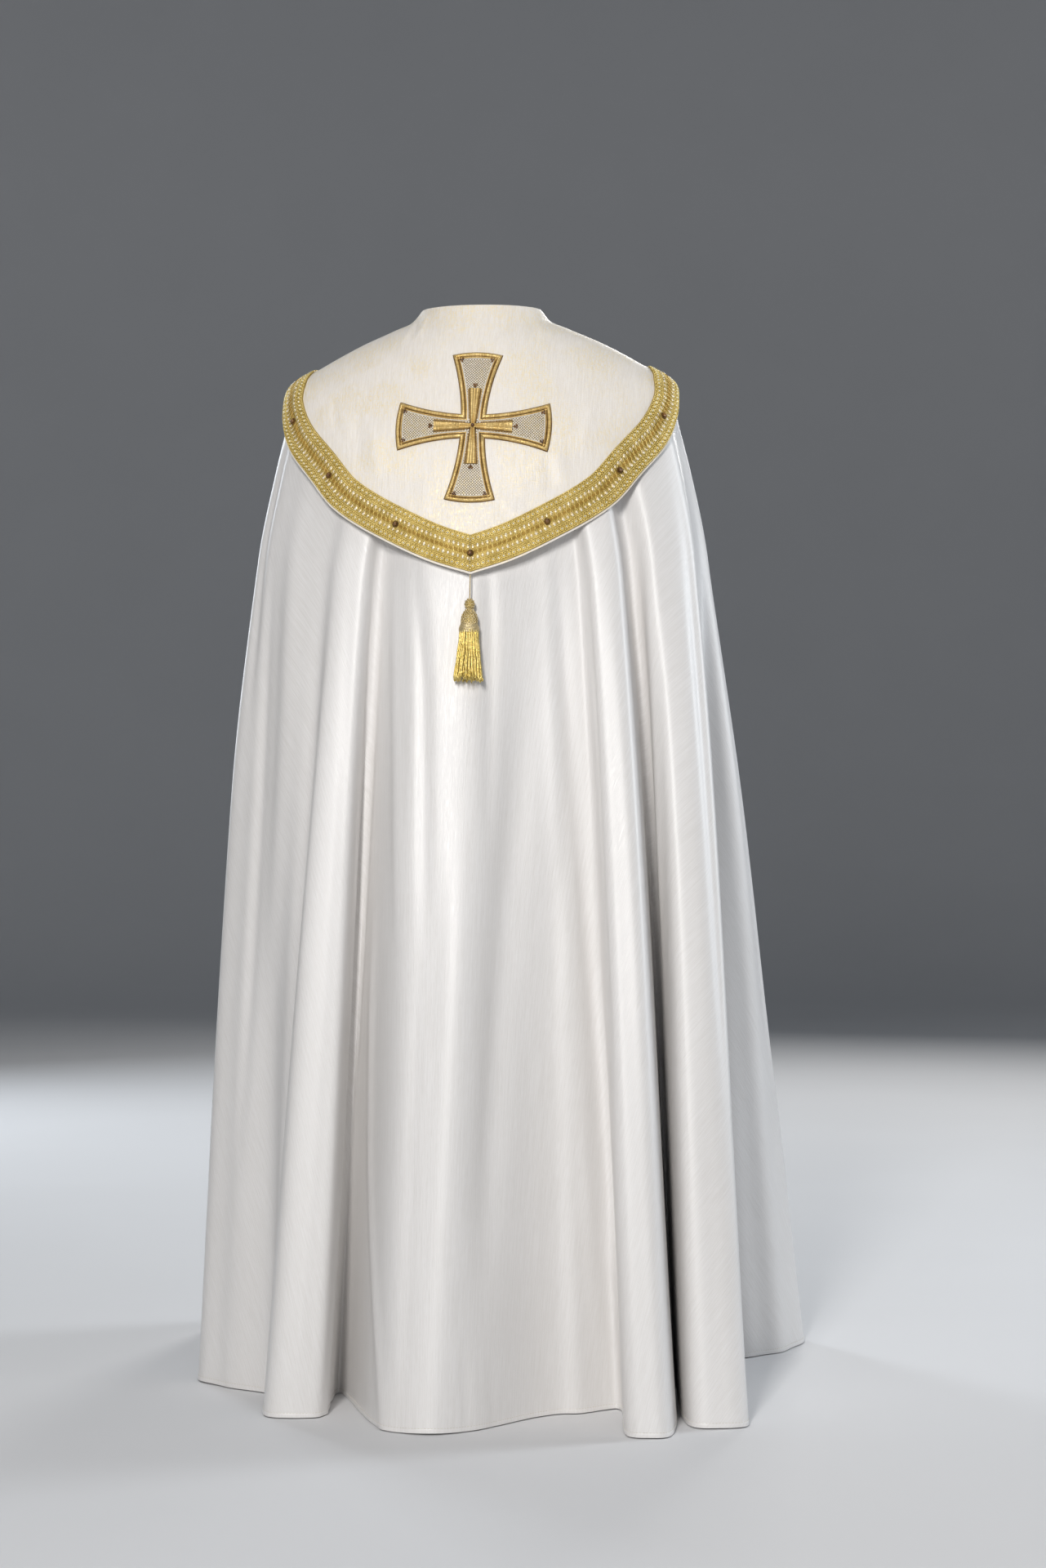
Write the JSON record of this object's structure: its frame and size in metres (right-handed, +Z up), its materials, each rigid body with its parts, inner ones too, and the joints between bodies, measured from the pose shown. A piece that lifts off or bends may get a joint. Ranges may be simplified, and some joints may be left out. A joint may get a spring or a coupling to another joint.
{
  "type": "cope vestment",
  "caption": "Semicircular white cope, worn and hollow: floor-length folded mantle, pointed hood with gold braid, embroidered cross and tassel, plain breast clasp.",
  "frame": {"origin": "middle of the neck opening, level with the top of the shoulders, where the garment is held", "axes": "+Z up, the front opening faces -Y, the garment's left side is +X"},
  "size_m": [0.879, 0.8135, 1.4601],
  "materials": {
    "satin": "ivory white satin, soft sheen",
    "lame": "ivory cloth with gold slubs",
    "braid": "gold metal thread galloon",
    "purl": "antique gold embroidery thread",
    "strand": "twisted gold strands",
    "bead": "dark amber, glossy",
    "gilt": "gilt, polished"
  },
  "bodies": {
    "root": {"mantle_back": "satin", "mantle_front_left": "satin", "mantle_front_right": "satin", "hood": "lame", "hood_braid_left": "braid", "hood_braid_right": "braid", "cross_field": "lame", "cross_rim": "purl", "cross_inner": "purl", "cross_bead": "bead", "tassel_cord": "strand", "tassel_ball": "strand", "tassel_head": "purl", "tassel_band": "purl", "tassel_skirt": "strand", "clasp_tab": "satin", "clasp_hook_upper": "gilt", "clasp_hook_lower": "gilt", "braid_bead_1": "bead", "braid_bead_2": "bead", "braid_bead_3": "bead", "braid_bead_4": "bead", "braid_bead_5": "bead", "braid_bead_6": "bead", "braid_bead_7": "bead", "braid_bead_8": "bead", "braid_bead_9": "bead"}
  },
  "joints": []
}
